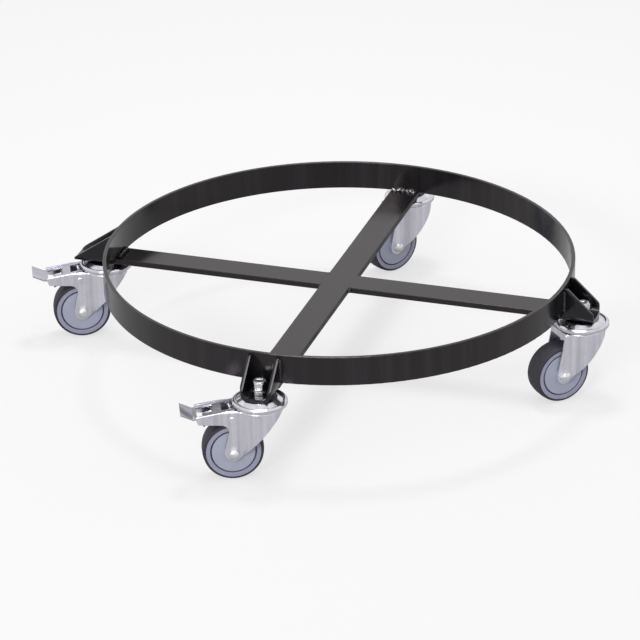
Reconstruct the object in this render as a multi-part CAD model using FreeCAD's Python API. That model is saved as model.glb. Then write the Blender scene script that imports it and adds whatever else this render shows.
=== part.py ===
import FreeCAD, Part
import math
import os

os.makedirs("parts", exist_ok=True)
V = FreeCAD.Vector

# Drum trolley: a flat bar hoop on a flat bar cross, carried by four swivel casters.
# Millimetres, +Z up. The origin is the hoop's centre on the cross bars' top face.

# Hoop rolled from flat bar
ring_outer_r = 320.0
ring_wall = 5.0
ring_height = 40.0
ring_edge_round = 0.8
ring_hole_r = 3.0
ring_hole_side = 4.0
ring_hole_height_share = 0.5

# Flat bar cross under the hoop
bar_width = 40.0
bar_thick = 8.0
bar_edge_round = 0.8
weld_leg = 4.0
seat_margin = 3.0

# Folded caster brackets on the hoop's outside
bracket_width = 42.0
bracket_sheet = 4.5
bracket_bend_r = 7.0
bracket_reach = 39.5
bracket_drop = 7.5
bracket_top_gap = 4.0
bracket_top_flat = 4.0
bracket_nose_rise = 10.0
bracket_nose_round = 5.0
bracket_corner_r = 5.0
long_bracket_reach = 60.0
long_bracket_top_gap = 7.0
long_bracket_nose_rise = 1.5

# Bolt, thin nut and collar nut that hold each caster
swivel_offset = 20.0
bolt_r = 5.0
bolt_hole_gap = 0.5
bolt_across = 16.0
bolt_head = 6.5
jam_nut_height = 6.0
fixing_nut_across = 17.0
fixing_nut_hex = 11.2
fixing_nut_collar = 1.8
bolt_end_inset = 1.0
nut_turn_deg = 10.0

# Swivel head, king pin and bearing ring
head_r = 36.0
head_sheet = 2.0
head_flat_share = 0.64
head_groove_share = 0.83
head_crest_share = 0.92
head_groove_drop = 4.2
head_groove_r = 1.0
head_crest_drop = 1.6
head_side_drop = 4.5
head_lip_drop = 8.5
king_wall = 3.0
king_flange_r = 14.0
king_flange = 2.5
king_clearance = 0.06
swivel_gap = 0.5
race_width = 4.0

# Wheel
wheel_r = 40.0
wheel_width = 30.0
tyre_depth = 4.5
tyre_crown_drop = 1.2
tyre_shoulder_r = 3.0
tyre_flat_share = 0.4
rim_depth = 5.5
web_width = 18.0
hub_r = 15.0
hub_round = 2.0
hub_inset = 2.5
bearing_wall = 3.5
bearing_clearance = 0.05
guard_gap = 2.0
guard_inset = 1.8
guard_proud = 0.2
guard_boss_r = 12.0
guard_edge_round = 0.8

# Fork pressed from sheet
caster_height = 110.0
trail_reach = 4.5
fork_sheet = 2.5
fork_side_gap = 2.5
fork_inset = 4.5
crown_drop = 10.0
crown_sheet = 3.0
fork_bend_r = 3.0
fork_crease_r = 9.0
fork_rear_reach = 4.0
fork_front_drop = 0.5
fork_tip_r = 11.5
fork_lip = 5.0
fork_edge_round = 1.0
axle_r = 4.0
axle_hole_gap = 0.25
axle_across = 13.0
axle_head = 8.0
axle_dome_r = 9.5
axle_nut = 6.8
axle_end = 1.5
sleeve_wall = 2.0

# Brake wings, pedal, spring leaf and pad
brake_crown_short = 4.5
wing_reach = 48.5
wing_fall = 6.0
wing_depth = 11.0
wing_shear = 4.0
wing_shoulder = 10.0
wing_shoulder_r = 40.0
wing_root_drop = 20.0
wing_root_r = 10.0
wing_corner_r = 2.0
pivot_back = 1.0
pivot_drop = 12.0
pivot_r = 3.0
pivot_clearance = 0.05
pivot_head_r = 4.5
pivot_head = 1.6
pedal_sheet = 2.0
pedal_side_gap = 0.5
pedal_rise = 1.3
pedal_tilt_deg = 11.8
pedal_head_gap = 1.5
pedal_reach = 50.5
pedal_tab = 18.0
pedal_tab_deg = 25.0
pedal_bend_r = 3.0
pedal_press_deg = 18.0
cheek_half = 5.5
cheek_reach = 25.0
cheek_foot = 5.0
window_start = 25.0
window_length = 20.5
window_half = 12.5
slot_start = -3.0
slot_length = 17.0
slot_half = 11.0
spring_sheet = 1.0
spring_half = 7.0
spring_start = 13.5
spring_seat = 11.0
spring_drop = 3.0
pad_start = 26.0
pad_length = 11.5
pad_half = 11.0
pad_gap = 0.8

# Faces that meet at more than this have an edge to be rounded
sharp_deg = 20.0

# Where each caster stands and how far it is turned in plan
stations = {"front": -90.0, "left": 180.0, "right": 0.0, "back": 90.0}
headings = {"front": -156.8, "left": -155.8, "right": -136.4, "back": -126.4}
braked = ("front", "left")
long_bracket = "left"

# Sizes that follow from the ones above
ring_inner_r = ring_outer_r - ring_wall
swivel_r = ring_outer_r + swivel_offset
plate_under = -bracket_drop - bracket_sheet
seat_half = ring_inner_r - weld_leg - seat_margin
bore_r = bolt_r + bolt_hole_gap
king_r = bore_r + king_wall
fork_body_r = head_r - fork_inset
fork_rear = fork_body_r + fork_rear_reach
trail = fork_body_r + trail_reach
brake_crown_rear = fork_body_r - brake_crown_short
crown_top = -crown_drop
crown_under = crown_top - crown_sheet
king_foot = crown_under - swivel_gap - king_flange
wheel_half = wheel_width / 2
rim_r = wheel_r - tyre_depth
rim_inner_r = rim_r - rim_depth
hub_half = wheel_half - hub_inset
sleeve_r = axle_r + axle_hole_gap + sleeve_wall
bearing_r = sleeve_r + bearing_clearance
hub_bore_r = bearing_r + bearing_wall
guard_r = rim_inner_r - guard_gap
leg_in = wheel_half + fork_side_gap
leg_out = leg_in + fork_sheet
axle_z = wheel_r - caster_height
fork_low = axle_z - fork_tip_r
pivot_x = trail + pivot_back
pivot_z = crown_top - pivot_drop
pedal_half = leg_in - pedal_side_gap
pedal_slope = math.tan(math.radians(pedal_tilt_deg))


def outline(corners, lift):
    """Closed face from (x, y, corner radius) corners, put into space by lift."""
    count = len(corners)
    ways = []
    for i, (x, y, r) in enumerate(corners):
        arms = []
        for qx, qy, _ in (corners[i - 1], corners[(i + 1) % count]):
            span = math.hypot(qx - x, qy - y)
            arms.append(((qx - x) / span, (qy - y) / span, span))
        dot = arms[0][0] * arms[1][0] + arms[0][1] * arms[1][1]
        half = math.acos(max(-1.0, min(1.0, dot))) / 2
        reach = r / math.tan(half) if r else 0.0
        ways.append([arms, half, reach])
    fit = [1.0] * count
    for i in range(count):
        k = (i + 1) % count
        need = ways[i][2] + ways[k][2]
        if need > ways[i][0][1][2]:
            share = ways[i][0][1][2] / need
            fit[i] = min(fit[i], share)
            fit[k] = min(fit[k], share)
    bends = []
    for (x, y, r), (arms, half, reach), share in zip(corners, ways, fit):
        reach = reach * share
        if not r:
            bends.append((lift(x, y),))
            continue
        far = reach / math.cos(half) - reach * math.tan(half)
        bx = arms[0][0] + arms[1][0]
        by = arms[0][1] + arms[1][1]
        size = math.hypot(bx, by)
        start = lift(x + arms[0][0] * reach, y + arms[0][1] * reach)
        middle = lift(x + bx / size * far, y + by / size * far)
        end = lift(x + arms[1][0] * reach, y + arms[1][1] * reach)
        bends.append((start, middle, end))
    edges = []
    for i, bend in enumerate(bends):
        if len(bend) > 1:
            edges.append(Part.Arc(*bend).toShape())
        following = bends[(i + 1) % count][0]
        if bend[-1].distanceToPoint(following) > Part.Precision.confusion():
            edges.append(Part.LineSegment(bend[-1], following).toShape())
    return Part.Face(Part.Wire(edges))


def turned(corners):
    """Solid of revolution about Z from (radius, height, corner radius) corners."""
    face = outline(corners, lambda x, y: V(x, 0, y))
    return face.revolve(V(0, 0, 0), V(0, 0, 1), 360)


def side_slab(corners, half):
    """Prism of an (x, z) outline from -half to half across Y."""
    face = outline(corners, lambda x, z: V(x, -half, z))
    return face.extrude(V(0, 2 * half, 0))


def plan_slab(corners, low, high):
    """Prism of an (x, y) outline from low to high."""
    face = outline(corners, lambda x, y: V(x, y, low))
    return face.extrude(V(0, 0, high - low))


def block(x0, x1, y0, y1, z0, z1):
    return Part.makeBox(x1 - x0, y1 - y0, z1 - z0, V(x0, y0, z0))


def rod(r, low, high):
    return Part.makeCylinder(r, high - low, V(0, 0, low))


def hexagon(across, low, high):
    """Hexagon bar end with its upper corners turned off."""
    corner = across / math.sqrt(3)
    points = []
    for i in range(6):
        angle = math.radians(60 * i)
        points.append((corner * math.cos(angle), corner * math.sin(angle), 0))
    turned_off = corner - across / 2
    cone = turned([(0, low, 0), (corner, low, 0), (corner, high - turned_off / 2, 0),
                   (across / 2, high, 0), (0, high, 0)])
    return plan_slab(points, low, high).common(cone)


def along_axle(shape):
    """Turn a shape made along Z onto the wheel axle, its +Z end to +Y."""
    made = shape.copy()
    made.rotate(V(0, 0, 0), V(1, 0, 0), -90)
    made.translate(V(trail, 0, axle_z))
    return made


def at_station(shape, name):
    """Turn a shape made at the +X side of the hoop to a caster's station."""
    made = shape.copy()
    made.rotate(V(0, 0, 0), V(0, 0, 1), stations[name])
    return made


def at_caster(shape, name, turn):
    """Put a shape made round the swivel axis, bracket underside at zero, at a caster."""
    made = shape.copy()
    made.rotate(V(0, 0, 0), V(0, 0, 1), turn)
    angle = math.radians(stations[name])
    made.translate(V(swivel_r * math.cos(angle), swivel_r * math.sin(angle), plate_under))
    return made


def save(name, shape):
    shape.exportStep("parts/" + name + ".step")


def one_solid(shape):
    """The single solid of a boolean result."""
    return shape.removeSplitter().Solids[0]


def rounded_bar(shape, radius):
    """Round the long edges of a flat bar that runs along Y."""
    edges = []
    for edge in shape.Edges:
        way = edge.Vertexes[-1].Point - edge.Vertexes[0].Point
        if abs(way.y) > abs(way.x) + abs(way.z):
            edges.append(edge)
    return shape.makeFillet(radius, edges)


def sharp_edges(shape):
    """Edges whose two faces meet at more than a few degrees."""
    found = []
    for edge in shape.Edges:
        middle = edge.valueAt((edge.FirstParameter + edge.LastParameter) / 2)
        ways = []
        for face in shape.ancestorsOfType(edge, Part.Face):
            ways.append(face.normalAt(*face.Surface.parameter(middle)))
        if len(ways) == 2 and ways[0].getAngle(ways[1]) > math.radians(sharp_deg):
            found.append(edge)
    return found


def make_ring():
    band = turned([(ring_inner_r, 0, ring_edge_round), (ring_outer_r, 0, ring_edge_round),
                   (ring_outer_r, ring_height, ring_edge_round),
                   (ring_inner_r, ring_height, ring_edge_round)])
    drill = Part.makeCylinder(ring_hole_r, ring_outer_r, V(ring_hole_side, 0, 0), V(0, -1, 0))
    drill.translate(V(0, 0, ring_height * ring_hole_height_share))
    return band.cut(drill)


def make_long_bar():
    # The drum seat is a face of its own, clear of the hoop and its welds.
    corners = [(-ring_outer_r, 0, 0), (-seat_half, 0, 0), (seat_half, 0, 0), (ring_outer_r, 0, 0),
               (ring_outer_r, -bar_thick, 0), (-ring_outer_r, -bar_thick, 0)]
    face = outline(corners, lambda y, z: V(-bar_width / 2, y, z))
    bar = rounded_bar(face.extrude(V(bar_width, 0, 0)), bar_edge_round)
    return bar.common(rod(ring_outer_r, -bar_thick, 0)).Solids[0]


def make_half_bar(turn):
    bar = block(-bar_width / 2, bar_width / 2, bar_width / 2, ring_outer_r, -bar_thick, 0)
    bar = rounded_bar(bar, bar_edge_round)
    bar = bar.common(rod(ring_outer_r, -bar_thick, 0)).Solids[0]
    bar.rotate(V(0, 0, 0), V(0, 0, 1), turn)
    return bar


def make_bracket(reach, top_gap, nose_rise):
    half = bracket_width / 2
    back = ring_outer_r - bar_width
    front = ring_outer_r + reach
    top = ring_height - top_gap
    inner = half - bracket_sheet
    floor = -bracket_drop
    bend = bracket_bend_r + bracket_sheet
    section = [(-half, top, 0), (-half, plate_under, bend), (half, plate_under, bend), (half, top, 0),
               (inner, top, 0), (inner, floor, bracket_bend_r), (-inner, floor, bracket_bend_r),
               (-inner, top, 0)]
    face = outline(section, lambda y, z: V(back, y, z))
    channel = face.extrude(V(front - back, 0, 0))
    side = [(back, plate_under, 0), (front, plate_under, 0), (front, floor + nose_rise, bracket_nose_round),
            (ring_outer_r + bracket_top_flat, top, bracket_top_flat), (back, top, 0)]
    plan = [(back, -half, 0), (front, -half, bracket_corner_r), (front, half, bracket_corner_r),
            (back, half, 0)]
    shape = channel.common(side_slab(side, half)).common(plan_slab(plan, plate_under, top))
    drill = rod(bore_r, plate_under, floor)
    drill.translate(V(swivel_r, 0, 0))
    return one_solid(shape.cut(drill).cut(rod(ring_outer_r, plate_under, ring_height)))


def make_station_welds(top_gap):
    """Beads at one station: along the bar inside the hoop and up both bracket flanges."""
    top = ring_height - top_gap
    spread = math.degrees(math.asin((bar_width / 2 - bar_edge_round) / ring_inner_r))
    corners = [(ring_inner_r - weld_leg, 0, 0), (ring_inner_r, 0, 0), (ring_inner_r, weld_leg, 0)]
    face = outline(corners, lambda x, z: V(x, 0, z))
    face.rotate(V(0, 0, 0), V(0, 0, 1), -spread)
    beads = [face.revolve(V(0, 0, 0), V(0, 0, 1), 2 * spread)]
    half = bracket_width / 2
    wall = math.sqrt(ring_outer_r ** 2 - half ** 2)
    for sign in (-1, 1):
        corners = [(wall + weld_leg, sign * half, 0), (wall - weld_leg, sign * half, 0),
                   (wall - weld_leg, sign * (half + 2 * weld_leg), 0)]
        bead = plan_slab(corners, ring_edge_round, top - weld_leg)
        beads.append(bead.cut(rod(ring_outer_r, 0, ring_height)).Solids[0])
    return beads


def make_welds():
    beads = []
    for name in stations:
        top_gap = long_bracket_top_gap if name == long_bracket else bracket_top_gap
        for bead in make_station_welds(top_gap):
            beads.append(at_station(bead, name))
    half = bar_width / 2
    for sx in (-1, 1):
        for sy in (-1, 1):
            corners = [(sx * half, sy * half, 0), (sx * (half + weld_leg), sy * half, 0),
                       (sx * half, sy * (half + weld_leg), 0)]
            beads.append(plan_slab(corners, -bar_thick + bar_edge_round, -bar_edge_round))
    return beads


def make_fixing_bolt():
    top = bracket_sheet + jam_nut_height + fixing_nut_hex + fixing_nut_collar - bolt_end_inset
    head = hexagon(bolt_across, -bolt_head, 0)
    head.rotate(V(0, 0, 0), V(1, 0, 0), 180)
    head.translate(V(0, 0, king_foot - bolt_head))
    return one_solid(head.fuse(rod(bolt_r, king_foot - bolt_head, top)))


def make_jam_nut():
    nut = hexagon(fixing_nut_across, bracket_sheet, bracket_sheet + jam_nut_height)
    return nut.cut(rod(bolt_r, 0, bracket_sheet + jam_nut_height))


def make_fixing_nut():
    low = bracket_sheet + jam_nut_height
    flat = low + fixing_nut_hex
    top = flat + fixing_nut_collar
    wall = fixing_nut_across / 2
    collar = turned([(bolt_r, low, 0), (wall, low, 0), (wall, top, fixing_nut_collar / 2), (bolt_r, top, 0)])
    nut = hexagon(fixing_nut_across, low, flat).cut(rod(bolt_r, low, flat))
    return one_solid(nut.fuse(collar))


def make_head():
    flat = head_r * head_flat_share
    groove = head_r * head_groove_share
    crest = head_r * head_crest_share
    lip = head_r - head_sheet
    bend = head_sheet
    under = -head_groove_drop - head_sheet
    return turned([(bore_r, 0, 0), (flat, 0, bend), (groove, -head_groove_drop, head_groove_r),
                   (crest, -head_crest_drop, bend), (head_r, -head_side_drop, bend),
                   (head_r, -head_lip_drop, 0), (lip, -head_lip_drop, 0), (lip, under, 0),
                   (groove - head_sheet, under, 0), (flat - head_sheet, -head_sheet, 0),
                   (bore_r, -head_sheet, 0)])


def make_king_pin():
    return turned([(bore_r, -head_sheet, 0), (king_r, -head_sheet, 0), (king_r, king_foot + king_flange, 0),
                   (king_flange_r, king_foot + king_flange, 0), (king_flange_r, king_foot, king_flange / 2),
                   (bore_r, king_foot, 0)])


def make_race():
    middle = head_r * head_groove_share
    top = -head_groove_drop - head_sheet
    return turned([(middle - race_width / 2, top, 0), (middle + race_width / 2, top, 0),
                   (middle + race_width / 2, crown_top + swivel_gap, 0),
                   (middle - race_width / 2, crown_top + swivel_gap, 0)])


def meeting(p, q, centre, radius):
    """Where the two tangents from p and q round the far side of a circle meet."""
    lines = []
    for (x, z), side in ((p, 1), (q, -1)):
        span = math.hypot(x - centre[0], z - centre[1])
        angle = math.atan2(z - centre[1], x - centre[0]) + side * math.acos(radius / span)
        lines.append((math.cos(angle), math.sin(angle)))
    (a, b), (c, d) = lines
    size = a * d - b * c
    return (centre[0] + radius * (d - b) / size, centre[1] + radius * (a - c) / size)


def fork_side(brake):
    """Side outline of a fork, with the brake wing when it has one."""
    front = -fork_body_r
    low_front = (front, crown_top - fork_front_drop)
    top_rear = (fork_rear, crown_top)
    tip = meeting(low_front, top_rear, (trail, axle_z), fork_tip_r)
    corners = [(front, crown_top, 0), (*low_front, 0), (*tip, fork_tip_r)]
    if not brake:
        return corners + [(*top_rear, 0)]
    root_z = crown_top - wing_root_drop
    share = (crown_top - root_z) / (crown_top - tip[1])
    root_x = fork_rear + (tip[0] - fork_rear) * share
    end_x = trail + wing_reach
    end_z = crown_top - wing_fall
    return corners + [(root_x, root_z, wing_root_r),
                      (end_x - wing_shear, end_z - wing_depth, wing_corner_r),
                      (end_x, end_z, wing_corner_r),
                      (trail + wing_shoulder, crown_top, wing_shoulder_r)]


def cross_hole(r, x, z, half):
    return Part.makeCylinder(r, 2 * half, V(x, -half, z), V(0, 1, 0))


def make_fork(brake):
    far = trail + wing_reach + fork_tip_r
    body = rod(fork_body_r, fork_low, crown_top).fuse(block(0, far, -leg_out, leg_out, fork_low, crown_top))
    body = body.removeSplitter()
    crease = V(math.sqrt(fork_body_r ** 2 - leg_out ** 2), leg_out, 0)
    creases = []
    for edge in body.Edges:
        middle = edge.CenterOfMass
        if middle.z < crown_under and V(middle.x, abs(middle.y), 0).distanceToPoint(crease) < fork_sheet:
            creases.append(edge)
    body = body.makeFillet(fork_crease_r, creases)
    tops = []
    for edge in body.Edges:
        middle = edge.CenterOfMass
        if middle.z > crown_under and middle.x < far - fork_sheet:
            tops.append(edge)
    body = body.makeFillet(fork_bend_r, tops)
    hollow = rod(fork_body_r - fork_sheet, fork_low, crown_under)
    if brake:
        gap = block(0, far, -leg_in, leg_in, fork_low, crown_under)
        gap = gap.fuse(block(brake_crown_rear, far, -leg_in, leg_in, fork_low, 0))
    else:
        gap = block(0, fork_rear - fork_sheet, -leg_in, leg_in, fork_low, crown_under)
        gap = gap.fuse(block(0, far, -leg_in, leg_in, fork_low, crown_under - fork_lip))
    shell = body.cut(hollow.fuse(gap))
    shell = one_solid(shell.common(side_slab(fork_side(brake), fork_body_r)))
    rims = []
    for edge in sharp_edges(shell):
        middle = edge.valueAt((edge.FirstParameter + edge.LastParameter) / 2)
        outside = math.hypot(middle.x, middle.y) > fork_body_r - fork_edge_round
        if outside and abs(edge.CenterOfMass.y) > leg_out - fork_edge_round:
            rims.append(edge)
    shell = shell.makeFillet(fork_edge_round, rims)
    shell = shell.cut(rod(king_r + king_clearance, crown_under - crown_sheet, 0))
    shell = shell.cut(cross_hole(axle_r + axle_hole_gap, trail, axle_z, leg_out))
    if brake:
        shell = shell.cut(cross_hole(pivot_r, pivot_x, pivot_z, leg_out))
    return one_solid(shell)


def make_axle_bolt():
    low = -leg_out - axle_nut - axle_end
    dome = Part.makeSphere(axle_dome_r, V(0, 0, leg_out + axle_head - axle_dome_r))
    head = hexagon(axle_across, leg_out, leg_out + axle_head).common(dome)
    shape = rod(axle_r, low, leg_out).fuse(head)
    return along_axle(one_solid(shape))


def make_axle_nut():
    nut = hexagon(axle_across, 0, axle_nut)
    nut.rotate(V(0, 0, 0), V(1, 0, 0), 180)
    nut.translate(V(0, 0, -leg_out))
    return along_axle(nut.cut(rod(axle_r, -leg_out - axle_nut, -leg_out)))


def make_axle_sleeve():
    bore = axle_r + axle_hole_gap
    return along_axle(rod(sleeve_r, -leg_in, leg_in).cut(rod(bore, -leg_in, leg_in)))


def make_guards():
    face = wheel_half + guard_proud
    back = wheel_half - guard_inset
    guard = turned([(sleeve_r, back, 0), (guard_r, back, 0), (guard_r, face, guard_edge_round),
                    (guard_boss_r, face, 0), (guard_boss_r, leg_in, 0), (sleeve_r, leg_in, 0)])
    other = guard.copy()
    other.rotate(V(0, 0, 0), V(1, 0, 0), 180)
    return [along_axle(guard), along_axle(other)]


def mirrored(corners):
    """Add the other half of a wheel section, the near half running up to +height."""
    return [(r, -s, c) for r, s, c in reversed(corners)] + corners


def make_wheel_core():
    web = web_width / 2
    half = [(rim_r, wheel_half, 0), (rim_inner_r, wheel_half, guard_edge_round),
            (rim_inner_r, web, hub_round), (hub_r, web, hub_round), (hub_r, hub_half, 0),
            (hub_bore_r, hub_half, 0)]
    return along_axle(turned(half + [(r, -s, c) for r, s, c in reversed(half)]))


def make_tyre():
    half = [(wheel_r, wheel_half * tyre_flat_share, wheel_half),
            (wheel_r - tyre_crown_drop, wheel_half, tyre_shoulder_r), (rim_r, wheel_half, 0)]
    return along_axle(turned(mirrored(half)))


def make_hub_bearing():
    return along_axle(rod(hub_bore_r, -hub_half, hub_half).cut(rod(bearing_r, -hub_half, hub_half)))


def pedal_top(x):
    """Height of the pedal's upper face at a distance behind the swivel axis."""
    return crown_top + pedal_rise - pedal_slope * (x - head_r)


def make_pedal():
    front = head_r - cheek_half
    bend_x = trail + pedal_reach
    bend_z = pedal_top(bend_x)
    tab = math.radians(pedal_tab_deg)
    end_x = bend_x + pedal_tab * math.cos(tab)
    end_z = bend_z + pedal_tab * math.sin(tab)
    sheet = side_slab([(front, pedal_top(front), 0), (bend_x, bend_z, pedal_bend_r), (end_x, end_z, 0),
                       (end_x, end_z - pedal_sheet, 0),
                       (bend_x, bend_z - pedal_sheet, pedal_bend_r + pedal_sheet),
                       (front, pedal_top(front) - pedal_sheet, 0)], pedal_half)
    for start, length, half in ((window_start, window_length, window_half),
                                (slot_start, slot_length, slot_half)):
        sheet = sheet.cut(block(trail + start, trail + start + length, -half, half,
                                pedal_top(bend_x) - pedal_sheet, crown_top + pedal_rise))
    middle = pedal_sheet / 2
    rear = pivot_x + cheek_reach
    cheek = side_slab([(pivot_x - cheek_half, pedal_top(pivot_x - cheek_half) - middle, 0),
                       (rear, pedal_top(rear) - middle, 0), (rear, pedal_top(rear) - cheek_foot, 0),
                       (pivot_x + cheek_half, pivot_z - cheek_half, cheek_half),
                       (pivot_x - cheek_half, pivot_z - cheek_half, cheek_half)], pedal_half)
    inside = pedal_half - pedal_sheet
    cheek = cheek.cut(block(pivot_x - 2 * cheek_half, rear, -inside, inside, pivot_z - 2 * cheek_half, 0))
    shape = sheet.fuse(cheek)
    shape = shape.cut(rod(head_r + pedal_head_gap, crown_top - pedal_head_gap, 0))
    shape = shape.cut(cross_hole(pivot_r + pivot_clearance, pivot_x, pivot_z, pedal_half))
    return one_solid(shape)


def make_pivot():
    pin = rod(pivot_r, -leg_out, leg_out)
    cap = turned([(0, leg_out, 0), (pivot_head_r, leg_out, 0),
                  (pivot_head_r, leg_out + pivot_head, pivot_head / 2), (0, leg_out + pivot_head, 0)])
    other = cap.copy()
    other.rotate(V(0, 0, 0), V(1, 0, 0), 180)
    shape = one_solid(pin.fuse(cap).fuse(other))
    shape.rotate(V(0, 0, 0), V(1, 0, 0), -90)
    shape.translate(V(pivot_x, 0, pivot_z))
    return shape


def spring_under(x):
    """Height of the spring leaf's underside over the pad."""
    return pedal_top(x) - pedal_sheet - spring_drop - spring_sheet


def make_spring():
    start = pivot_x + spring_start
    flat = trail + slot_start + slot_length + spring_seat - spring_sheet
    low = trail + pad_start
    end = low + pad_length
    top = [(start, pedal_top(start) - pedal_sheet), (flat, pedal_top(flat) - pedal_sheet),
           (low, spring_under(low) + spring_sheet), (end, spring_under(end) + spring_sheet)]
    under = [(x, z - spring_sheet) for x, z in reversed(top)]
    return side_slab([(x, z, 0) for x, z in top + under], spring_half)


def make_pad():
    # The pad's face follows the tyre when the pedal is pressed right down.
    press = math.radians(pedal_press_deg)
    dx = trail - pivot_x
    dz = axle_z - pivot_z
    cx = pivot_x + dx * math.cos(press) - dz * math.sin(press)
    cz = pivot_z + dx * math.sin(press) + dz * math.cos(press)
    low = trail + pad_start
    end = low + pad_length
    deep = spring_under(end) - wheel_r
    slab = side_slab([(low, spring_under(low), 0), (end, spring_under(end), 0), (end, deep, 0),
                      (low, deep, 0)], pad_half)
    return one_solid(slab.cut(cross_hole(wheel_r + pad_gap, cx, cz, pad_half)))


save("ring_band", make_ring())
save("cross_bar_long", make_long_bar())
save("cross_bar_left", make_half_bar(90))
save("cross_bar_right", make_half_bar(-90))
save("frame_welds", Part.makeCompound(make_welds()))

bracket = make_bracket(bracket_reach, bracket_top_gap, bracket_nose_rise)
longer = make_bracket(long_bracket_reach, long_bracket_top_gap, long_bracket_nose_rise)
for name in stations:
    save("caster_bracket_" + name, at_station(longer if name == long_bracket else bracket, name))

groups = {"fixing_bolts": make_fixing_bolt(), "jam_nuts": make_jam_nut(), "fixing_nuts": make_fixing_nut(),
          "king_pins": make_king_pin(), "swivel_races": make_race()}
for group, shape in groups.items():
    save(group, Part.makeCompound([at_caster(shape, name, nut_turn_deg) for name in stations]))

head = make_head()
wheel_pieces = {"axle_bolt": make_axle_bolt(), "axle_nut": make_axle_nut(),
                "axle_sleeve": make_axle_sleeve(), "thread_guards": Part.makeCompound(make_guards()),
                "wheel_core": make_wheel_core(), "tyre": make_tyre(), "hub_bearing": make_hub_bearing()}
brake_pieces = {"brake_pedal": make_pedal(), "brake_pivot": make_pivot(), "brake_spring": make_spring(),
                "brake_pad": make_pad()}
forks = {True: make_fork(True), False: make_fork(False)}
for name, turn in headings.items():
    pieces = {"swivel_head": head, "fork": forks[name in braked], **wheel_pieces}
    if name in braked:
        pieces.update(brake_pieces)
    for piece, shape in pieces.items():
        save(piece + "_" + name, at_caster(shape, name, turn))
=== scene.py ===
import math

import bpy
from mathutils import Matrix, Vector


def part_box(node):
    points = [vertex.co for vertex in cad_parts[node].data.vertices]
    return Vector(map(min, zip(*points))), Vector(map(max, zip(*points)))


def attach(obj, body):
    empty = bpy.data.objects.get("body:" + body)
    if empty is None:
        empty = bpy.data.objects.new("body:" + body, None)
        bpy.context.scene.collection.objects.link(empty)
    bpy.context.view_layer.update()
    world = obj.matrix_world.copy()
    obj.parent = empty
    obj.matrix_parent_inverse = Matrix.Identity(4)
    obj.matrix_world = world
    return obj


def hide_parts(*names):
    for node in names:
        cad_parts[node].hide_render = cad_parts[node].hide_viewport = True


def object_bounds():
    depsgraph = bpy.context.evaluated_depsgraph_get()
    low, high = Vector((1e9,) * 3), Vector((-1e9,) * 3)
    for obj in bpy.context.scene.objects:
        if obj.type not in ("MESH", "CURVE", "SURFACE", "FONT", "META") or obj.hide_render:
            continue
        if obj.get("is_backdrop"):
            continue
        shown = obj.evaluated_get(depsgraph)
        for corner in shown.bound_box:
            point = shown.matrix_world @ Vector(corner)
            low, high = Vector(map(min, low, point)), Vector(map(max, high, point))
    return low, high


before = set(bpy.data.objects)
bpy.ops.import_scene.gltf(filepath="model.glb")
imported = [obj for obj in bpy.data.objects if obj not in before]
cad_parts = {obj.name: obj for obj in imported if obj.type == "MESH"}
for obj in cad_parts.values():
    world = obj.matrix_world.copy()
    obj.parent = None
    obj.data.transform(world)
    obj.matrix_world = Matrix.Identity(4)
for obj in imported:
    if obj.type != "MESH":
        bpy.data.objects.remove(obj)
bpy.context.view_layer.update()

bl_info = {
    "name": "Drum trolley finish",
    "version": (1, 0, 0),
    "blender": (4, 5, 0),
    "location": "3D View > Sidebar > Trolley",
    "description": "Paint, plating, weld beads and a studio for the drum trolley",
    "category": "Object",
}

MM = 0.001
STATIONS = ("front", "left", "right", "back")
BRAKED = ("front", "left")
QUARTER_TURNS = (90, 180, 270)
UP = Vector((0, 0, 1))

# On a copy of a CAD mesh, points this close are merged and faces this flat are joined
MERGE_GAP = 0.005 * MM
FLAT_ANGLE = math.radians(0.5)
# Edges sharper than the first are broken, and faces that meet softer than the others are shaded smooth
SHARP_ANGLE = math.radians(35)
COPY_SMOOTH = math.radians(30)
PIECE_SMOOTH = math.radians(40)
# Steps of a weld bead to one ripple, the share of its radius at the tip and what each step adds to it
RIPPLE_STEPS = 4
BEAD_TIP = 0.45
BEAD_GROWTH = 0.2


def linear(hex_colour):
    """Linear RGBA from an sRGB hex colour."""
    parts = [int(hex_colour[i:i + 2], 16) / 255 for i in (1, 3, 5)]
    return (*[p / 12.92 if p <= 0.04045 else ((p + 0.055) / 1.055) ** 2.4 for p in parts], 1.0)


def lighter(colour, factor):
    """A colour with its strength multiplied."""
    return (*[min(1.0, c * factor) for c in colour[:3]], 1.0)


def per_mm(size):
    """Texture scale whose features are about this many millimetres across."""
    return 1 / (size * MM)


# Sizes and colours a user would change


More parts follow.
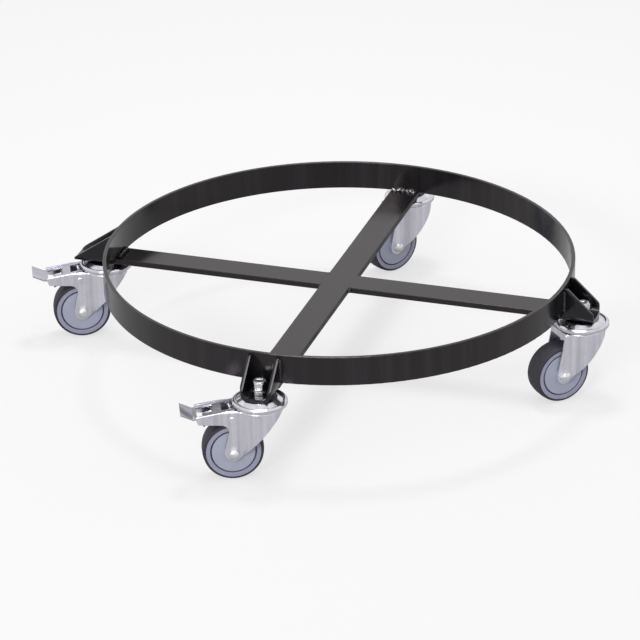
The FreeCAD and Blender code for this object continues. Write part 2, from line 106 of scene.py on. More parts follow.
class TrolleyFinish(bpy.types.PropertyGroup):
    enamel: bpy.props.FloatVectorProperty(
        name="Hoop enamel", description="Paint on the hoop and the cross bars", subtype="COLOR", size=4,
        min=0, max=1, default=linear("#151416"))
    # Painted shade: the frame's enamel made darker for the folded brackets
    bracket_enamel_shaded: bpy.props.FloatVectorProperty(
        name="Bracket enamel", description="Paint on the folded caster brackets", subtype="COLOR", size=4,
        min=0, max=1, default=linear("#121113"))
    fork_zinc: bpy.props.FloatVectorProperty(
        name="Fork zinc", description="Satin plating on the forks", subtype="COLOR", size=4,
        min=0, max=1, default=linear("#dedde7"))
    pedal_zinc: bpy.props.FloatVectorProperty(
        name="Pedal zinc", description="Satin plating on the brake pedals", subtype="COLOR", size=4,
        min=0, max=1, default=linear("#b5b4be"))
    head_zinc: bpy.props.FloatVectorProperty(
        name="Head zinc", description="Bright plating on the swivel heads", subtype="COLOR", size=4,
        min=0, max=1, default=linear("#d6d5dd"))
    bolt_zinc: bpy.props.FloatVectorProperty(
        name="Bolt zinc", description="Bright plating on bolts and nuts", subtype="COLOR", size=4,
        min=0, max=1, default=linear("#dededf"))
    guard: bpy.props.FloatVectorProperty(
        name="Thread guard", description="Moulded disc on the wheel's face", subtype="COLOR", size=4,
        min=0, max=1, default=linear("#b1b5c8"))
    rim: bpy.props.FloatVectorProperty(
        name="Wheel rim", description="Moulded wheel body", subtype="COLOR", size=4,
        min=0, max=1, default=linear("#a4a4bc"))
    tyre: bpy.props.FloatVectorProperty(
        name="Tyre", description="Rubber tread", subtype="COLOR", size=4,
        min=0, max=1, default=linear("#38363f"))


class TrolleyEdges(bpy.types.PropertyGroup):
    bracket: bpy.props.FloatProperty(
        name="Bracket edge", description="Width of the broken edges of a bracket", unit="LENGTH",
        default=0.8 * MM)
    pedal: bpy.props.FloatProperty(
        name="Pedal edge", description="Width of the broken edges of a pedal", unit="LENGTH",
        default=0.5 * MM)
    nut: bpy.props.FloatProperty(
        name="Nut edge", description="Width of the broken edges of a nut", unit="LENGTH", default=0.7 * MM)
    ring_radius: bpy.props.FloatProperty(
        name="Nylon ring radius", description="Middle of the locking ring in a nut", unit="LENGTH",
        default=6.0 * MM)
    ring_section: bpy.props.FloatProperty(
        name="Nylon ring section", description="Half the thickness of the locking ring", unit="LENGTH",
        default=1.0 * MM)
    ring_sink: bpy.props.FloatProperty(
        name="Nylon ring sink", description="Middle of the ring below the nut's top", unit="LENGTH",
        default=0.3 * MM)
    ring_flatness: bpy.props.FloatProperty(
        name="Nylon ring flatness", description="Height of the ring's section as a share of its width",
        subtype="FACTOR", min=0, max=1, default=0.7)


class TrolleyWelds(bpy.types.PropertyGroup):
    hoop_wall: bpy.props.FloatProperty(
        name="Hoop wall", description="Thickness of the hoop's flat bar", unit="LENGTH", default=5.0 * MM)
    bead_radius: bpy.props.FloatProperty(
        name="Bead radius", description="Half the width of a weld bead", unit="LENGTH", default=2.7 * MM)
    hoop_radius: bpy.props.FloatProperty(
        name="Hoop bead radius", description="Half the width of the beads inside the hoop", unit="LENGTH",
        default=4.2 * MM)
    ripple_pitch: bpy.props.FloatProperty(
        name="Ripple pitch", description="Distance between two ripples of a bead", unit="LENGTH",
        default=2.4 * MM)
    ripple_depth: bpy.props.FloatProperty(
        name="Ripple depth", description="Share of the radius lost between ripples", subtype="FACTOR",
        min=0, max=1, default=0.2)
    wander: bpy.props.FloatProperty(
        name="Wander", description="How far a bead laid by hand strays", unit="LENGTH", default=0.3 * MM)
    flush_width: bpy.props.FloatProperty(
        name="Flush weld width", description="Across the joint of a half bar", unit="LENGTH",
        default=1.6 * MM)
    flush_depth: bpy.props.FloatProperty(
        name="Flush weld depth", description="From the bars' top down", unit="LENGTH", default=1.26 * MM)
    flush_short: bpy.props.FloatProperty(
        name="Flush weld shortfall", description="Length less than the bar's width", unit="LENGTH",
        default=0.4 * MM)
    flush_sink: bpy.props.FloatProperty(
        name="Flush weld sink", description="Middle of the weld inside the bars' faces", unit="LENGTH",
        default=0.6 * MM)
    flush_edge: bpy.props.FloatProperty(
        name="Flush weld edge", description="Broken edge of the ground weld", unit="LENGTH",
        default=0.02 * MM)


class TrolleyStage(bpy.types.PropertyGroup):
    floor_radius: bpy.props.FloatProperty(
        name="Floor radius", description="Half the width of the floor", unit="LENGTH", default=14.0)
    floor_seen: bpy.props.FloatVectorProperty(
        name="Floor colour", description="Colour of the floor to the camera", subtype="COLOR", size=4,
        min=0, max=1, default=linear("#fbfbfb"))
    floor_bounce: bpy.props.FloatVectorProperty(
        name="Floor bounce", description="Colour of the floor as it lights the trolley", subtype="COLOR",
        size=4, min=0, max=1, default=linear("#cdcdcd"))
    floor_glow: bpy.props.FloatProperty(
        name="Floor glow", description="Share of plain white in the floor to the camera", subtype="FACTOR",
        min=0, max=1, default=0.62)
    floor_mirror: bpy.props.FloatProperty(
        name="Floor glow in gloss", description="Share of plain white in the floor in reflections",
        subtype="FACTOR", min=0, max=1, default=0.2)
    fill: bpy.props.FloatProperty(
        name="Room fill", description="Strength of the even light from all round", default=0.6)
    softbox_power: bpy.props.FloatProperty(
        name="Softbox power", description="Small soft lamp over the trolley", unit="POWER", default=12.0)
    key_power: bpy.props.FloatProperty(
        name="Key lamp power", description="Soft lamp in front on the left", unit="POWER", default=100.0)
    rim_power: bpy.props.FloatProperty(
        name="Rim lamp power", description="High lamp that only glints on edges", unit="POWER",
        default=45.0)
    softbox_size: bpy.props.FloatVectorProperty(
        name="Softbox size", description="Width and height", unit="LENGTH", size=2, default=(0.5, 0.5))
    softbox_place: bpy.props.FloatVectorProperty(
        name="Softbox place", description="Where the softbox hangs", subtype="XYZ", unit="LENGTH",
        default=(-0.2, 0.7, 2.1))
    key_size: bpy.props.FloatVectorProperty(
        name="Key lamp size", description="Width and height", unit="LENGTH", size=2, default=(1.8, 0.7))
    key_azimuth: bpy.props.FloatProperty(
        name="Key lamp azimuth", description="Turn of the key lamp round the trolley", subtype="ANGLE",
        default=math.radians(-4.0))
    key_distance: bpy.props.FloatProperty(
        name="Key lamp distance", description="From the trolley", unit="LENGTH", default=6.0)
    rim_size: bpy.props.FloatVectorProperty(
        name="Rim lamp size", description="Width and height", unit="LENGTH", size=2, default=(2.0, 1.0))
    rim_azimuth: bpy.props.FloatProperty(
        name="Rim lamp azimuth", description="Turn of the rim lamp round the trolley", subtype="ANGLE",
        default=math.radians(10.0))
    rim_elevation: bpy.props.FloatProperty(
        name="Rim lamp elevation", description="Height of the rim lamp above the horizon", subtype="ANGLE",
        default=math.radians(57.0))
    rim_distance: bpy.props.FloatProperty(
        name="Rim lamp distance", description="From the trolley", unit="LENGTH", default=3.0)
    lens: bpy.props.FloatProperty(
        name="Lens", description="Focal length on a 36 mm sensor", unit="CAMERA", default=192.145)
    distance: bpy.props.FloatProperty(
        name="Camera distance", description="From the aimed point", unit="LENGTH", default=4.684)
    azimuth: bpy.props.FloatProperty(
        name="Camera azimuth", description="Turn of the camera round the trolley", subtype="ANGLE",
        default=math.radians(18.0469))
    elevation: bpy.props.FloatProperty(
        name="Camera elevation", description="Height of the camera above the horizon", subtype="ANGLE",
        default=math.radians(25.6358))
    roll: bpy.props.FloatProperty(
        name="Camera roll", description="Tilt of the picture", subtype="ANGLE",
        default=math.radians(-0.8332))
    aim: bpy.props.FloatVectorProperty(
        name="Aim", description="Point at the picture's centre", subtype="XYZ", unit="LENGTH",
        default=(-28.2 * MM, 0.0, -64.3 * MM))


# Materials


def add(tree, kind, inputs=None, **settings):
    """Add a node, set its properties, and set or link its inputs."""
    made = tree.nodes.new(kind)
    for key, value in settings.items():
        setattr(made, key, value)
    for key, value in (inputs or {}).items():
        if isinstance(value, bpy.types.NodeSocket):
            tree.links.new(value, made.inputs[key])
        else:
            made.inputs[key].default_value = value
    return made


def blank(name):
    """New node material: its tree, its shader and object coordinates."""
    material = bpy.data.materials.new(name)
    material.use_nodes = True
    tree = material.node_tree
    tree.nodes.clear()
    shader = add(tree, "ShaderNodeBsdfPrincipled")
    add(tree, "ShaderNodeOutputMaterial", {"Surface": shader.outputs["BSDF"]})
    place = add(tree, "ShaderNodeTexCoord").outputs["Object"]
    return material, tree, shader, place


def wire(tree, shader, **sockets):
    """Link outputs to the shader's sockets, or set plain values there."""
    for key, value in sockets.items():
        socket = shader.inputs[key.replace("_", " ")]
        if isinstance(value, bpy.types.NodeSocket):
            tree.links.new(value, socket)
        else:
            socket.default_value = value


def enamel_paint(name, colour, tint, rough, side_rough, roll_sheen, spatter):
    # Stove enamel sprayed on steel: black body, a clear mirror-like skin with a faint orange peel.
    # Upright sides can be duller than level faces, as on the scaly rolled edges of flat bar, and a hoop
    # shows faint upright stripes along the marks that the bending rolls left; their sheen is painted into
    # the base colour as lighter stripes. Specks of grit sit in the paint. Peel and specks are drawn coarser
    # than they are, so that they show.
    material, tree, shader, place = blank(name)
    peel = add(tree, "ShaderNodeTexNoise", {"Vector": place, "Scale": per_mm(2.5), "Detail": 2.0})
    cloud = add(tree, "ShaderNodeTexNoise", {"Vector": place, "Scale": per_mm(45.0), "Detail": 3.0})
    rolled = add(tree, "ShaderNodeMapping", {"Vector": place, "Scale": (1.0, 1.0, 0.02)})
    roll_sheen_noise = add(tree, "ShaderNodeTexNoise", {"Vector": rolled.outputs["Vector"], "Scale": per_mm(16.0),
                                                "Detail": 2.0})
    band = add(tree, "ShaderNodeMapRange", {"Value": roll_sheen_noise.outputs["Fac"], "From Min": 0.45,
                                            "From Max": 0.7, "To Max": roll_sheen})
    dust = add(tree, "ShaderNodeTexNoise", {"Vector": place, "Scale": per_mm(1.2), "Detail": 4.0})
    specks = add(tree, "ShaderNodeMapRange", {"Value": dust.outputs["Fac"], "From Min": 0.62,
                                              "From Max": 0.75, "To Max": spatter})
    tone = add(tree, "ShaderNodeMix", {"Factor": cloud.outputs["Fac"], "A": lighter(colour, 0.8),
                                       "B": lighter(colour, 1.25)}, data_type="RGBA")
    dusty = add(tree, "ShaderNodeMix", {"Factor": specks.outputs["Result"], "A": tone.outputs["Result"],
                                        "B": lighter(colour, 5.0)}, data_type="RGBA")
    # Painted sheen: the roll marks' stripes lighten the base colour
    roll_sheen_colour = add(tree, "ShaderNodeMix", {"Factor": band.outputs["Result"], "A": dusty.outputs["Result"],
                                         "B": lighter(colour, 4.0)}, data_type="RGBA")
    gloss = add(tree, "ShaderNodeMapRange", {"Value": cloud.outputs["Fac"], "From Min": 0.3,
                                             "From Max": 0.7, "To Min": 0.8, "To Max": 1.3})
    facing = add(tree, "ShaderNodeSeparateXYZ", {0: add(tree, "ShaderNodeNewGeometry").outputs["Normal"]})
    level = add(tree, "ShaderNodeMath", {0: facing.outputs["Z"]}, operation="ABSOLUTE")
    skin = add(tree, "ShaderNodeMapRange", {"Value": level.outputs[0], "To Min": side_rough,
                                            "To Max": rough})
    gloss = add(tree, "ShaderNodeMath", {0: gloss.outputs["Result"], 1: skin.outputs["Result"]},
                operation="MULTIPLY")
    bump = add(tree, "ShaderNodeBump", {"Height": peel.outputs["Fac"], "Strength": 0.12,
                                        "Distance": 0.1 * MM})
    wire(tree, shader, Base_Color=roll_sheen_colour.outputs["Result"], Roughness=gloss.outputs[0],
         Normal=bump.outputs["Normal"], IOR=1.47, Specular_Tint=linear(tint))
    return material


def thin_paint(name, colour):
    # Enamel over a weld bead: gloss black in the hollows, thin on the ripples, where bare steel glints.
    material, tree, shader, place = blank(name)
    spots = add(tree, "ShaderNodeTexNoise", {"Vector": place, "Scale": per_mm(3.0), "Detail": 3.0})
    bare = add(tree, "ShaderNodeMapRange", {"Value": spots.outputs["Fac"], "From Min": 0.52,
                                            "From Max": 0.62})
    scale = add(tree, "ShaderNodeTexNoise", {"Vector": place, "Scale": per_mm(0.8), "Detail": 2.0})
    tone = add(tree, "ShaderNodeMix", {"Factor": bare.outputs["Result"], "A": colour,
                                       "B": linear("#b5b2b0")}, data_type="RGBA")
    gloss = add(tree, "ShaderNodeMapRange", {"Value": bare.outputs["Result"], "To Min": 0.14,
                                             "To Max": 0.38})
    bump = add(tree, "ShaderNodeBump", {"Height": scale.outputs["Fac"], "Strength": 0.3,
                                        "Distance": 0.2 * MM})
    wire(tree, shader, Base_Color=tone.outputs["Result"], Metallic=bare.outputs["Result"],
         Roughness=gloss.outputs["Result"], Normal=bump.outputs["Normal"], IOR=1.5)
    return material


def zinc_plate(name, colour, rough, streak_and_reflection):
    # Zinc plated pressed sheet: silvery, faintly blue, with drawing streaks and cloudy patches. The upright
    # streaks are partly drawing marks and partly painted reflection: their lighter and darker stripes in the
    # base colour stand in for the bands that the plating mirrors. They are drawn coarser than they are, so
    # that they show.
    material, tree, shader, place = blank(name)
    drawn = add(tree, "ShaderNodeMapping", {"Vector": place, "Scale": (1.0, 1.0, 0.03)})
    streak_and_reflection_lines = add(tree, "ShaderNodeTexNoise", {"Vector": drawn.outputs["Vector"], "Scale": per_mm(6.0),
                                             "Detail": 1.0})
    cloud = add(tree, "ShaderNodeTexNoise", {"Vector": place, "Scale": per_mm(14.0), "Detail": 4.0})
    grain = add(tree, "ShaderNodeTexNoise", {"Vector": place, "Scale": per_mm(0.5), "Detail": 2.0})
    blend = add(tree, "ShaderNodeMix", {"Factor": streak_and_reflection, "A": cloud.outputs["Fac"],
                                        "B": streak_and_reflection_lines.outputs["Fac"]})
    tone = add(tree, "ShaderNodeMapRange", {"Value": blend.outputs["Result"], "From Min": 0.3,
                                            "From Max": 0.7})
    # Painted reflection in part: the streaks make the plating lighter and darker in upright stripes
    tint = add(tree, "ShaderNodeMix", {"Factor": tone.outputs["Result"], "A": lighter(colour, 0.8),
                                       "B": lighter(colour, 1.12)}, data_type="RGBA")
    satin = add(tree, "ShaderNodeMapRange", {"Value": blend.outputs["Result"], "From Min": 0.3,
                                             "From Max": 0.7, "To Min": rough * 1.25, "To Max": rough * 0.8})
    bump = add(tree, "ShaderNodeBump", {"Height": grain.outputs["Fac"], "Strength": 0.08,
                                        "Distance": 0.05 * MM})
    wire(tree, shader, Base_Color=tint.outputs["Result"], Roughness=satin.outputs["Result"],
         Normal=bump.outputs["Normal"], Metallic=1.0)
    return material


def moulded_plastic(name, colour, rough):
    # Injection moulded plastic: an even dull body with a fine spark-eroded grain, drawn coarser than it is.
    material, tree, shader, place = blank(name)
    grain = add(tree, "ShaderNodeTexNoise", {"Vector": place, "Scale": per_mm(0.7), "Detail": 3.0})
    flow = add(tree, "ShaderNodeTexNoise", {"Vector": place, "Scale": per_mm(18.0), "Detail": 2.0})
    tint = add(tree, "ShaderNodeMix", {"Factor": flow.outputs["Fac"], "A": lighter(colour, 0.92),
                                       "B": lighter(colour, 1.08)}, data_type="RGBA")
    dull = add(tree, "ShaderNodeMapRange", {"Value": flow.outputs["Fac"], "From Min": 0.3, "From Max": 0.7,
                                            "To Min": rough * 0.9, "To Max": rough * 1.15})
    bump = add(tree, "ShaderNodeBump", {"Height": grain.outputs["Fac"], "Strength": 0.1,
                                        "Distance": 0.08 * MM})
    wire(tree, shader, Base_Color=tint.outputs["Result"], Roughness=dull.outputs["Result"],
         Normal=bump.outputs["Normal"], IOR=1.49)
    return material


def cured_rubber(name, colour, rough):
    # Moulded rubber: matte and dark, with scuffed paler patches and a pitted skin, drawn coarser than it is.
    material, tree, shader, place = blank(name)
    pits = add(tree, "ShaderNodeTexNoise", {"Vector": place, "Scale": per_mm(0.8), "Detail": 4.0})
    scuff = add(tree, "ShaderNodeTexNoise", {"Vector": place, "Scale": per_mm(9.0), "Detail": 5.0})
    worn = add(tree, "ShaderNodeMapRange", {"Value": scuff.outputs["Fac"], "From Min": 0.35,
                                            "From Max": 0.7})
    tint = add(tree, "ShaderNodeMix", {"Factor": worn.outputs["Result"], "A": lighter(colour, 0.88),
                                       "B": lighter(colour, 1.2)}, data_type="RGBA")
    bump = add(tree, "ShaderNodeBump", {"Height": pits.outputs["Fac"], "Strength": 0.2,
                                        "Distance": 0.1 * MM})
    wire(tree, shader, Base_Color=tint.outputs["Result"], Roughness=rough, Normal=bump.outputs["Normal"],
         IOR=1.52, Specular_IOR_Level=0.3)
    return material


def seen_rays(tree):
    """Light path node, and a socket that is one for camera, glossy and transmission rays."""
    ray = add(tree, "ShaderNodeLightPath")
    seen = add(tree, "ShaderNodeMath", {0: ray.outputs["Is Camera Ray"], 1: ray.outputs["Is Glossy Ray"]},
               operation="MAXIMUM")
    shown = add(tree, "ShaderNodeMath", {0: seen.outputs[0], 1: ray.outputs["Is Transmission Ray"]},
                operation="MAXIMUM")
    return ray, shown.outputs[0]


def dress(material, *prefixes):
    """Give a material to every CAD node whose name starts with one of these words."""
    for name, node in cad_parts.items():
        if name.startswith(prefixes):
            node.data.materials.clear()
            node.data.materials.append(material)


# Modelling


def fresh():
    """Leave edit mode and deselect everything before a new piece is started."""
    if bpy.context.object and bpy.context.object.mode != "OBJECT":
        bpy.ops.object.mode_set(mode="OBJECT")
    bpy.ops.object.select_all(action="DESELECT")


def settle(piece, name):
    """Back to object mode with the place in the mesh, outward normals and smooth faces."""
    bpy.ops.object.mode_set(mode="EDIT")
    bpy.ops.mesh.select_all(action="SELECT")
    bpy.ops.mesh.normals_make_consistent(inside=False)
    bpy.ops.object.mode_set(mode="OBJECT")
    bpy.ops.object.transform_apply(location=True, rotation=True, scale=True)
    bpy.ops.object.shade_smooth_by_angle(angle=PIECE_SMOOTH)
    piece.name = name
    piece.data.name = name
    return piece


def copy_turned(piece, degrees):
    """A copy with its own mesh, turned about the hoop's axis."""
    twin = piece.copy()
    twin.data = piece.data.copy()
    twin.data.transform(Matrix.Rotation(math.radians(degrees), 4, "Z"))
    bpy.context.scene.collection.objects.link(twin)
    return twin


def merge(pieces, name):
    """Join pieces into one object."""
    fresh()
    for piece in pieces:
        piece.select_set(True)
    bpy.context.view_layer.objects.active = pieces[0]
    bpy.ops.object.join()
    joined = bpy.context.object
    joined.name = name
    joined.data.name = name
    return joined


def rippled_bead(path, radius, depth, paint):
    """Weld bead: a disc extruded along a path, swelling and sinking with each ripple."""
    fresh()
    count = len(path)
    sizes = []
    for i in range(count):
        swell = 1 - depth * abs(math.cos(math.pi * i / RIPPLE_STEPS))
        ends = min(1.0, BEAD_TIP + BEAD_GROWTH * min(i, count - 1 - i))
        sizes.append(radius * swell * ends)
    start = (path[1] - path[0]).to_track_quat("Z", "Y").to_euler()
    bpy.ops.mesh.primitive_circle_add(vertices=12, radius=sizes[0], fill_type="NGON", location=path[0],
                                      rotation=start)
    bead = bpy.context.object
    bpy.ops.object.mode_set(mode="EDIT")
    bpy.ops.mesh.select_all(action="SELECT")
    for i in range(1, count):
        step = path[i] - path[i - 1]
        grow = sizes[i] / sizes[i - 1]
        bpy.ops.mesh.extrude_region_move(TRANSFORM_OT_translate={"value": step})
        bpy.ops.transform.resize(value=(grow, grow, grow), center_override=path[i])
    bead.data.materials.append(paint)
    return settle(bead, "bead")


def straight(start, end, step):
    """Points from start to end, about a step apart."""
    count = max(2, round((end - start).length / step))
    return [start.lerp(end, i / count) for i in range(count + 1)]


def toward(azimuth, elevation):
    """Direction to something that stands at this turn and height, seen from the trolley."""
    level = math.cos(elevation)
    return Vector((math.sin(azimuth) * level, -math.cos(azimuth) * level, math.sin(elevation)))


def rounded_copy(node, width):
    """A copy of a CAD node whose sharp edges are broken by this much."""
    fresh()
    piece = bpy.data.objects.new(node + "_dressed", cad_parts[node].data.copy())
    bpy.context.scene.collection.objects.link(piece)
    bpy.context.view_layer.objects.active = piece
    piece.select_set(True)
    bpy.ops.object.mode_set(mode="EDIT")
    bpy.ops.mesh.select_all(action="SELECT")
    bpy.ops.mesh.remove_doubles(threshold=MERGE_GAP)
    bpy.ops.mesh.dissolve_limited(angle_limit=FLAT_ANGLE)
    bpy.ops.object.mode_set(mode="OBJECT")
    bevel = piece.modifiers.new("edges", "BEVEL")
    bevel.width = width
    bevel.segments = 2
    bevel.limit_method = "ANGLE"
    bevel.angle_limit = SHARP_ANGLE
    bpy.ops.object.modifier_apply(modifier=bevel.name)
    bpy.ops.object.shade_smooth_by_angle(angle=COPY_SMOOTH)
    piece.data.name = piece.name
    return piece


class TROLLEY_OT_paint(bpy.types.Operator):
    """Spray the hoop, the cross bars and the brackets"""
    bl_idname = "trolley.paint"
    bl_label = "Frame enamel"

    def execute(self, context):
        finish = context.scene.trolley_finish
        dress(enamel_paint("stove_enamel_on_rolled_hoop", tuple(finish.enamel), tint="#faeff3", rough=0.16,
                           side_rough=0.16, roll_sheen=0.45, spatter=0.2), "ring_band")
        dress(enamel_paint("stove_enamel_on_flat_bar", tuple(finish.enamel), tint="#fff0f0", rough=0.16,
                           side_rough=0.5, roll_sheen=0.0, spatter=0.2), "cross_bar")
        # The brackets get the frame's enamel darkened as painted shade
        dress(enamel_paint("stove_enamel_on_folded_plate", tuple(finish.bracket_enamel_shaded), tint="#eeeef8",
                           rough=0.17, side_rough=0.17, roll_sheen=0.0, spatter=0.8), "caster_bracket")
        return {"FINISHED"}


class TROLLEY_OT_brackets(bpy.types.Operator):
    """Break the edges of the folded brackets"""
    bl_idname = "trolley.brackets"
    bl_label = "Bracket edges"

    def execute(self, context):
        for station in STATIONS:
            node = "caster_bracket_" + station
            piece = rounded_copy(node, context.scene.trolley_edges.bracket)
            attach(piece, "frame")
            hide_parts(node)
        return {"FINISHED"}


class TROLLEY_OT_pedals(bpy.types.Operator):
    """Break the edges of the pressed brake pedals"""
    bl_idname = "trolley.pedals"
    bl_label = "Pedal edges"

    def execute(self, context):
        for station in BRAKED:
            node = "brake_pedal_" + station
            piece = rounded_copy(node, context.scene.trolley_edges.pedal)
            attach(piece, "pedal_" + station)
            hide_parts(node)
        return {"FINISHED"}


class TROLLEY_OT_welds(bpy.types.Operator):
    """Lay rippled weld beads where the bars, the hoop and the brackets meet"""
    bl_idname = "trolley.welds"
    bl_label = "Weld beads"

    def execute(self, context):
        welds = context.scene.trolley_welds
        step = welds.ripple_pitch / RIPPLE_STEPS
        radius = welds.bead_radius
        depth = welds.ripple_depth
        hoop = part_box("ring_band")
        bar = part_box("cross_bar_right")
        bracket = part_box("caster_bracket_right")
        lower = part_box("caster_bracket_left")
        outer = hoop[1].x
        inner = outer - welds.hoop_wall
        half = bar[1].y
        # Along the bar's end on the hoop's inside, laid thick, fast and by hand: two waves make it stray
        fat = welds.hoop_radius
        stride = 1.3 * step
        nest, lift = 0.35 * fat, 0.3 * fat
        spread = math.asin((half - fat / 2) / inner)
        count = round(2 * spread * inner / stride)
        arc = []
        for i in range(count + 1):
            angle = spread * (2 * i / count - 1)
            stray = welds.wander * (math.sin(0.9 * i) + math.sin(0.37 * i + 1))
            reach = inner - nest + stray
            arc.append(Vector((reach * math.cos(angle), reach * math.sin(angle), lift - stray)))
        finish = context.scene.trolley_finish
        painted = enamel_paint("stove_enamel_on_weld_bead", tuple(finish.enamel), tint="#faeff3", rough=0.12,
                               side_rough=0.12, roll_sheen=0.0, spatter=0.2)
        coarse = 1.4 * depth
        hoop_bead = rippled_bead(arc, fat, coarse, painted)
        pieces = [hoop_bead] + [copy_turned(hoop_bead, turn) for turn in QUARTER_TURNS]
        # The last one laid, at the back, has the thinnest paint
        pieces[1].data.materials[0] = thin_paint("thin_enamel_on_weld_bead", tuple(finish.enamel))
        # Up each bracket's two flanges on the hoop's outside
        side = bracket[1].y
        skin = math.sqrt(outer ** 2 - side ** 2)
        proud = 0.2 * radius
        for sign in (-1, 1):
            foot = Vector((skin + proud, sign * (side + proud), radius))
            rise = UP * (bracket[1].z - 2 * radius)
            tall = rippled_bead(straight(foot, foot + rise, step), radius, depth, painted)
            rise = UP * (lower[1].z - 2 * radius)
            short = rippled_bead(straight(foot, foot + rise, step), radius, depth, painted)
            pieces += [tall, copy_turned(tall, 90), copy_turned(tall, -90), copy_turned(short, 180)]
            bpy.data.objects.remove(short)
        # In the corners of the cross
        low = bar[0].z
        tuck, thick = 0.3 * radius, 1.3 * radius
        corner = half + tuck
        foot = Vector((corner, corner, low + tuck))
        rise = -UP * (low + 2 * tuck)
        corner_bead = rippled_bead(straight(foot, foot + rise, step), thick, depth, painted)
        # Ground flush where a half bar butts against the long one
        fresh()
        sink = welds.flush_sink
        bpy.ops.mesh.primitive_cube_add(size=1, location=(half - sink, 0, -sink),
                                        scale=(welds.flush_width, 2 * half - welds.flush_short,
                                               welds.flush_depth))
        flush = bpy.context.object
        bpy.ops.object.mode_set(mode="EDIT")
        bpy.ops.mesh.select_all(action="SELECT")
        bpy.ops.mesh.bevel(offset=welds.flush_edge, segments=1)
        settle(flush, "flush")
        flush.data.materials.append(painted)
        pieces += [corner_bead] + [copy_turned(corner_bead, turn) for turn in QUARTER_TURNS]
        pieces += [flush, copy_turned(flush, 180)]
        joined = merge(pieces, "weld_beads")
        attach(joined, "frame")
        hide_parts("frame_welds")
        return {"FINISHED"}


class TROLLEY_OT_plating(bpy.types.Operator):
    """Plate the forks, heads, pedals, bolts and pins"""
    bl_idname = "trolley.plating"
    bl_label = "Caster plating"

    def execute(self, context):
        finish = context.scene.trolley_finish
        dress(zinc_plate("satin_zinc_on_drawn_sheet", tuple(finish.fork_zinc), rough=0.3, streak_and_reflection=0.75),
              "fork_", "brake_pivot")
        dress(zinc_plate("satin_zinc_on_pedal_sheet", tuple(finish.pedal_zinc), rough=0.32, streak_and_reflection=0.4),
              "brake_pedal")
        dress(zinc_plate("bright_zinc_on_pressed_head", tuple(finish.head_zinc), rough=0.15, streak_and_reflection=0.1),
              "swivel_head")
        dress(zinc_plate("bright_zinc_on_fasteners", tuple(finish.bolt_zinc), rough=0.22, streak_and_reflection=0.1),
              "fixing_", "jam_nuts")
        dress(zinc_plate("bright_zinc_on_axle_bolts", tuple(finish.bolt_zinc), rough=0.2, streak_and_reflection=0.1),
              "axle_bolt", "axle_nut")
        dress(zinc_plate("bare_ground_steel", linear("#8d8d90"), rough=0.28, streak_and_reflection=0.5),
              "king_pins", "swivel_races", "axle_sleeve")
        dress(zinc_plate("bright_zinc_on_spring_leaf", linear("#c6c6cd"), rough=0.26, streak_and_reflection=0.5),
              "brake_spring")
        return {"FINISHED"}


class TROLLEY_OT_wheels(bpy.types.Operator):
    """Finish the wheels, thread guards, tyres and brake pads"""
    bl_idname = "trolley.wheels"
    bl_label = "Wheels"

    def execute(self, context):
        finish = context.scene.trolley_finish
        dress(moulded_plastic("moulded_polypropylene_guard", tuple(finish.guard), rough=0.42),
              "thread_guards")
        dress(moulded_plastic("moulded_polypropylene_rim", tuple(finish.rim), rough=0.4), "wheel_core")
        dress(moulded_plastic("moulded_acetal_bush", linear("#2a2a2c"), rough=0.5), "hub_bearing")
        dress(cured_rubber("cured_grey_rubber_tread", tuple(finish.tyre), rough=0.62), "tyre")
        dress(cured_rubber("cured_black_rubber_pad", linear("#1b1b1d"), rough=0.7), "brake_pad")
        return {"FINISHED"}


class TROLLEY_OT_nut_inserts(bpy.types.Operator):
    """Chamfer the nuts and fit the nylon locking rings in their tops"""
    bl_idname = "trolley.nut_inserts"
    bl_label = "Nuts"

    def execute(self, context):
        edges = context.scene.trolley_edges
        for node, slot in (("jam_nuts", "bolt_zinc"), ("fixing_nuts", "nut_zinc")):
            piece = rounded_copy(node, edges.nut)
            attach(piece, "frame")
            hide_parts(node)
        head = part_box("swivel_head_right")
        middle = Vector(((head[0].x + head[1].x) / 2, 0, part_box("fixing_nuts")[1].z - edges.ring_sink))
        fresh()
        bpy.ops.mesh.primitive_torus_add(major_radius=edges.ring_radius, minor_radius=edges.ring_section,
                                         major_segments=48, minor_segments=12, location=middle)
        ring = bpy.context.object
        bpy.ops.object.mode_set(mode="EDIT")
        bpy.ops.mesh.select_all(action="SELECT")
        bpy.ops.transform.resize(value=(1, 1, edges.ring_flatness), center_override=middle)
        settle(ring, "nylon_ring")
        rings = [ring] + [copy_turned(ring, turn) for turn in QUARTER_TURNS]
        joined = merge(rings, "nylon_rings")
        joined.data.materials.clear()
        joined.data.materials.append(moulded_plastic("moulded_nylon_ring", linear("#5d6068"), rough=0.38))
        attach(joined, "frame")
        return {"FINISHED"}


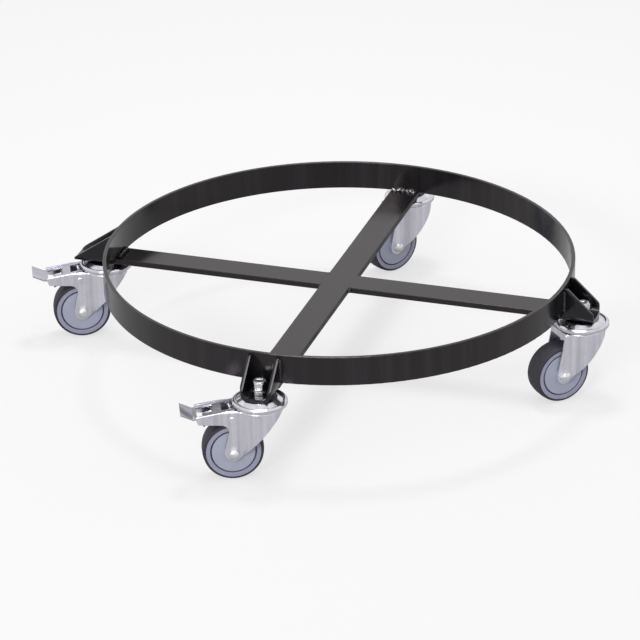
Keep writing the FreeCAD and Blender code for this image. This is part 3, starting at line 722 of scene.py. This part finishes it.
class TROLLEY_OT_stage(bpy.types.Operator):
    """Set up the floor, the lamps, the white room and the camera"""
    bl_idname = "trolley.stage"
    bl_label = "Studio"

    def execute(self, context):
        scene = context.scene
        stage = scene.trolley_stage
        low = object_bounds()[0].z
        fresh()
        bpy.ops.mesh.primitive_circle_add(vertices=96, radius=stage.floor_radius, fill_type="NGON",
                                          location=(0, 0, low))
        floor = bpy.context.object
        floor.name = "studio_floor"
        # Pale seamless floor: white to the camera and in reflections, with the soft shadow left on it
        material = bpy.data.materials.new("pale_studio_floor")
        material.use_nodes = True
        tree = material.node_tree
        tree.nodes.clear()
        ray, shown = seen_rays(tree)
        share = add(tree, "ShaderNodeMapRange", {"Value": ray.outputs["Is Camera Ray"],
                                                 "To Min": stage.floor_mirror, "To Max": stage.floor_glow})
        share = add(tree, "ShaderNodeMath", {0: shown, 1: share.outputs["Result"]}, operation="MULTIPLY")
        tone = add(tree, "ShaderNodeMix", {"Factor": ray.outputs["Is Camera Ray"],
                                           "A": stage.floor_bounce, "B": stage.floor_seen}, data_type="RGBA")
        paper = add(tree, "ShaderNodeBsdfDiffuse", {"Color": tone.outputs["Result"]})
        white = add(tree, "ShaderNodeEmission", {"Color": linear("#ffffff"), "Strength": 1.0})
        both = add(tree, "ShaderNodeMixShader", {0: share.outputs[0], 1: paper.outputs[0],
                                                 2: white.outputs[0]})
        add(tree, "ShaderNodeOutputMaterial", {"Surface": both.outputs[0]})
        floor.data.materials.append(material)
        floor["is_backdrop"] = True

        world = bpy.data.worlds.new("white_room")
        scene.world = world
        world.use_nodes = True
        tree = world.node_tree
        tree.nodes.clear()
        shown = seen_rays(tree)[1]
        lit = add(tree, "ShaderNodeBackground", {"Color": linear("#ffffff"), "Strength": stage.fill})
        white = add(tree, "ShaderNodeBackground", {"Color": linear("#ffffff"), "Strength": 1.0})
        both = add(tree, "ShaderNodeMixShader", {0: shown, 1: lit.outputs[0], 2: white.outputs[0]})
        add(tree, "ShaderNodeOutputWorld", {"Surface": both.outputs[0]})

        rise, roll = stage.elevation, stage.roll
        key = toward(stage.key_azimuth, rise) * stage.key_distance
        high = toward(stage.rim_azimuth, stage.rim_elevation) * stage.rim_distance
        for name, power, size, spot in (
                ("softbox", stage.softbox_power, stage.softbox_size, Vector(stage.softbox_place)),
                ("key_lamp", stage.key_power, stage.key_size, key),
                ("rim_lamp", stage.rim_power, stage.rim_size, high)):
            lamp = bpy.data.lights.new(name, "AREA")
            lamp.shape = "RECTANGLE"
            lamp.size, lamp.size_y = size
            lamp.energy = power
            holder = bpy.data.objects.new(name, lamp)
            scene.collection.objects.link(holder)
            holder.location = spot
            holder.visible_diffuse = name != "rim_lamp"
            holder.rotation_euler = (spot - Vector((0, 0, low))).to_track_quat("Z", "Y").to_euler()

        back = toward(stage.azimuth, rise)
        right = Vector((math.cos(stage.azimuth), math.sin(stage.azimuth), 0))
        above = back.cross(right)
        across = right * math.cos(roll) + above * math.sin(roll)
        upward = above * math.cos(roll) - right * math.sin(roll)
        eye = Vector(stage.aim) + back * stage.distance
        camera = bpy.data.objects.new("photo_camera", bpy.data.cameras.new("photo_camera"))
        scene.collection.objects.link(camera)
        camera.data.sensor_width = 36.0
        camera.data.lens = stage.lens
        camera.data.clip_end = 100.0
        columns = Matrix((across, upward, back)).transposed().to_4x4()
        camera.matrix_world = Matrix.Translation(eye) @ columns
        scene.camera = camera
        scene.view_settings.view_transform = "Standard"
        return {"FINISHED"}


class TROLLEY_PT_panel(bpy.types.Panel):
    """Trolley tools in the sidebar"""
    bl_idname = "TROLLEY_PT_panel"
    bl_label = "Drum trolley"
    bl_space_type = "VIEW_3D"
    bl_region_type = "UI"
    bl_category = "Trolley"

    def draw(self, context):
        for operator in OPERATORS:
            self.layout.operator(operator.bl_idname)
        for group in GROUPS:
            settings = getattr(context.scene, group)
            for key in settings.__annotations__:
                self.layout.prop(settings, key)


GROUPS = {"trolley_finish": TrolleyFinish, "trolley_edges": TrolleyEdges, "trolley_welds": TrolleyWelds,
          "trolley_stage": TrolleyStage}
OPERATORS = (TROLLEY_OT_paint, TROLLEY_OT_brackets, TROLLEY_OT_welds, TROLLEY_OT_plating, TROLLEY_OT_pedals,
             TROLLEY_OT_wheels, TROLLEY_OT_nut_inserts, TROLLEY_OT_stage)


def register():
    for name, group in GROUPS.items():
        bpy.utils.register_class(group)
        setattr(bpy.types.Scene, name, bpy.props.PointerProperty(type=group))
    for kind in (*OPERATORS, TROLLEY_PT_panel):
        bpy.utils.register_class(kind)


def unregister():
    for kind in (TROLLEY_PT_panel, *reversed(OPERATORS)):
        bpy.utils.unregister_class(kind)
    for name, group in GROUPS.items():
        delattr(bpy.types.Scene, name)
        bpy.utils.unregister_class(group)


def main():
    register()
    bpy.ops.trolley.paint()
    bpy.ops.trolley.brackets()
    bpy.ops.trolley.welds()
    bpy.ops.trolley.plating()
    bpy.ops.trolley.pedals()
    bpy.ops.trolley.wheels()
    bpy.ops.trolley.nut_inserts()
    bpy.ops.trolley.stage()


if __name__ == "__main__":
    main()
